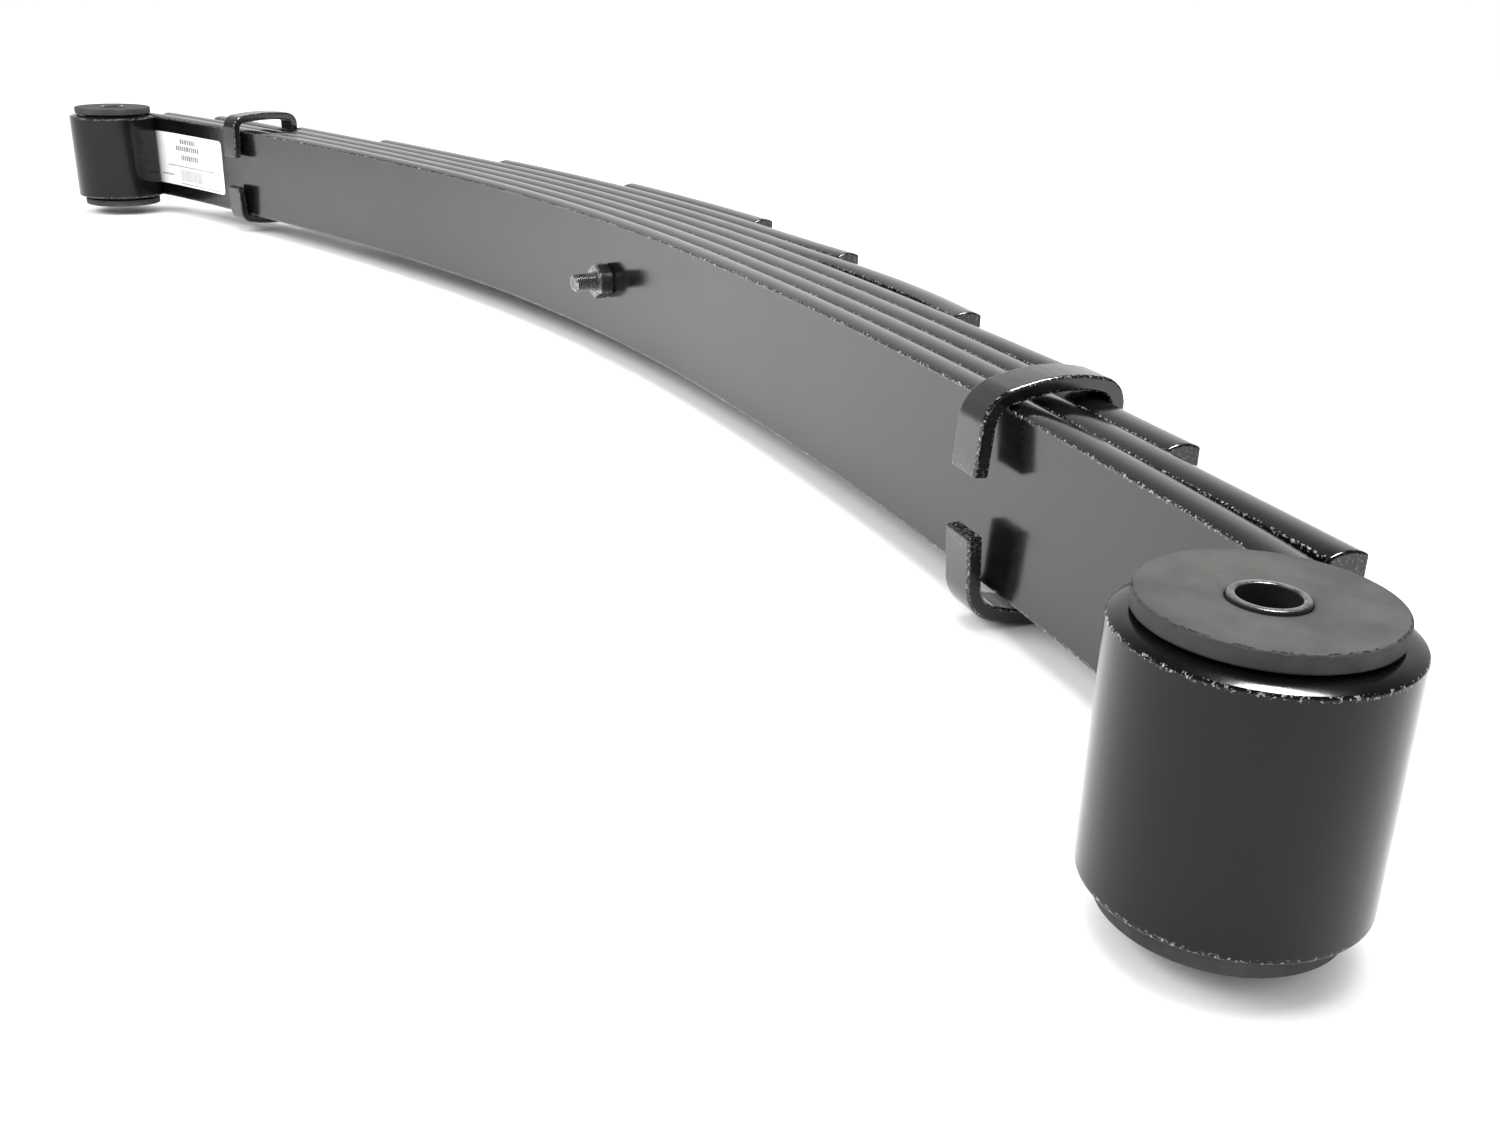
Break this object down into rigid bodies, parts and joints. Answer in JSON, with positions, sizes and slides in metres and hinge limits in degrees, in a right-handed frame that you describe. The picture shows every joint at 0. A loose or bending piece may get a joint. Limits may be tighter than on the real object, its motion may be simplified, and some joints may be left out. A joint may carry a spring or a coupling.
{
  "type": "leaf spring",
  "caption": "Semi-elliptic multi-leaf truck spring with rolled eyes, flanged rubber bushes, folded strap clips and a through centre bolt, shown lying on its side.",
  "frame": {"origin": "on the spring seat: the middle of the shortest leaf's outer face, where the centre bolt's head leaves it", "axes": "+X along the spring to the front eye (the short arm), +Y through the stack from the main leaf to the shortest leaf and out along the bolt's head, +Z across the width of the leaves; the spring lies on its side, as pictured"},
  "size_m": [1.4355, 0.3178, 0.1047],
  "materials": {
    "black_paint": "gloss",
    "bolt_paint": "gloss",
    "bush_rubber": "matt",
    "sleeve_steel": "satin",
    "label_paper": "satin"
  },
  "bodies": {
    "spring_pack": {"main_leaf": "black_paint", "leaf_2": "black_paint", "leaf_3": "black_paint", "leaf_4": "black_paint", "leaf_5": "black_paint", "leaf_6": "black_paint", "leaf_7": "black_paint", "centre_bolt": "bolt_paint", "centre_nut": "bolt_paint", "front_clip": "black_paint", "front_clip_rivet": "black_paint", "rear_clip": "black_paint", "rear_clip_rivet": "black_paint", "front_bush_upper_half": "bush_rubber", "front_bush_lower_half": "bush_rubber", "rear_bush_upper_half": "bush_rubber", "rear_bush_lower_half": "bush_rubber", "label": "label_paper"},
    "front_sleeve": {"front_bush_sleeve": "sleeve_steel"},
    "rear_sleeve": {"rear_bush_sleeve": "sleeve_steel"}
  },
  "joints": [
    {"name": "front_bush_twist", "type": "hinge", "parent": "spring_pack", "child": "front_sleeve", "pos_m": [0.62354, -0.21784, 0], "axis": [0, 0, 1], "range_deg": [-20, 20], "stiffness_Nm_per_rad": 40},
    {"name": "rear_bush_twist", "type": "hinge", "parent": "spring_pack", "child": "rear_sleeve", "pos_m": [-0.73445, -0.26799, 0], "axis": [0, 0, 1], "range_deg": [-20, 20], "stiffness_Nm_per_rad": 40}
  ]
}
